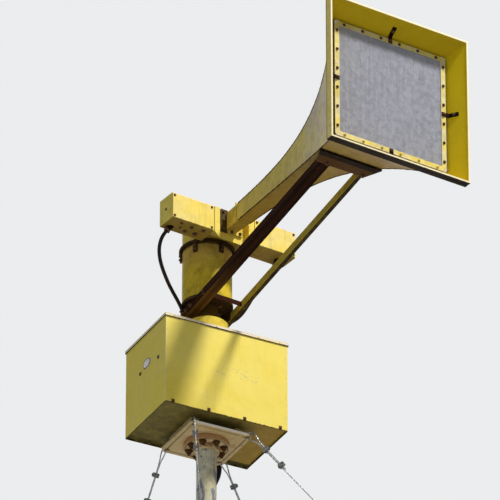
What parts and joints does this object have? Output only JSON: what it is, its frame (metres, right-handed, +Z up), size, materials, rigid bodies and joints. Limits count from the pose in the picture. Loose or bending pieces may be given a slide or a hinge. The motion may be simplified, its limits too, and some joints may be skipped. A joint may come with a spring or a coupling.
{
  "type": "civil defense siren tower",
  "caption": "Guyed pipe mast with a rotator housing and a turning siren head: motor, chopper, cross beam and a long square flared horn on struts.",
  "frame": {"origin": "centre of the base flange's underside, on the mast's axis", "axes": "+Z up the mast; X along the siren's cross beam; the horn points along -Y at rest"},
  "size_m": [6.0412, 8.4317, 8.188],
  "materials": {
    "yellow_paint": "weathered satin",
    "horn_paint": "streaked and weathered",
    "mast_paint": "peeling matt",
    "rusty_steel": "rusted",
    "rope_steel": "dull galvanised",
    "zinc_steel": "dull galvanised",
    "screen_wire": "dull wire cloth",
    "conduit_jacket": "matt ribbed"
  },
  "bodies": {
    "mast": {"mast_base_flange": "mast_paint", "mast_pipe": "mast_paint", "mast_top_flange": "mast_paint", "guy_plate": "mast_paint", "plate_channels": "mast_paint", "guy_rope_near": "rope_steel", "guy_rope_right": "rope_steel", "guy_rope_far": "rope_steel", "guy_rope_left": "rope_steel", "guy_rope_clips": "zinc_steel", "guy_turnbuckles": "zinc_steel", "guy_anchor_plates": "zinc_steel", "housing_pan": "yellow_paint", "housing_front_panel": "yellow_paint", "housing_rear_panel": "yellow_paint", "housing_left_panel": "yellow_paint", "housing_right_panel": "yellow_paint", "housing_lid": "yellow_paint", "housing_latches": "zinc_steel", "bearing_drum": "yellow_paint", "power_conduit": "conduit_jacket", "conduit_clips": "zinc_steel"},
    "head": {"neck_tube": "yellow_paint", "head_base_disc": "yellow_paint", "motor_casing": "yellow_paint", "clamp_ring": "rusty_steel", "chopper_housing": "yellow_paint", "beam_centre": "yellow_paint", "beam_box_left": "yellow_paint", "beam_box_right": "yellow_paint", "beam_box_covers": "yellow_paint", "throat_flange": "horn_paint", "throat_duct": "horn_paint", "horn_wall_left": "horn_paint", "horn_wall_right": "horn_paint", "horn_wall_top": "horn_paint", "horn_wall_bottom": "horn_paint", "mouth_rim": "horn_paint", "screen_frame": "yellow_paint", "mouth_screen": "screen_wire", "screen_clips": "rusty_steel", "horn_bracket": "rusty_steel", "strut_near": "rusty_steel", "strut_far": "yellow_paint", "strut_crossbar": "rusty_steel", "cable_left": "conduit_jacket", "cable_right": "conduit_jacket", "cable_glands": "rusty_steel"}
  },
  "joints": [
    {"name": "head_turn", "type": "hinge", "parent": "mast", "child": "head", "pos_m": [0, 0, 7.158], "axis": [0, 0, 1], "continuous": true}
  ]
}
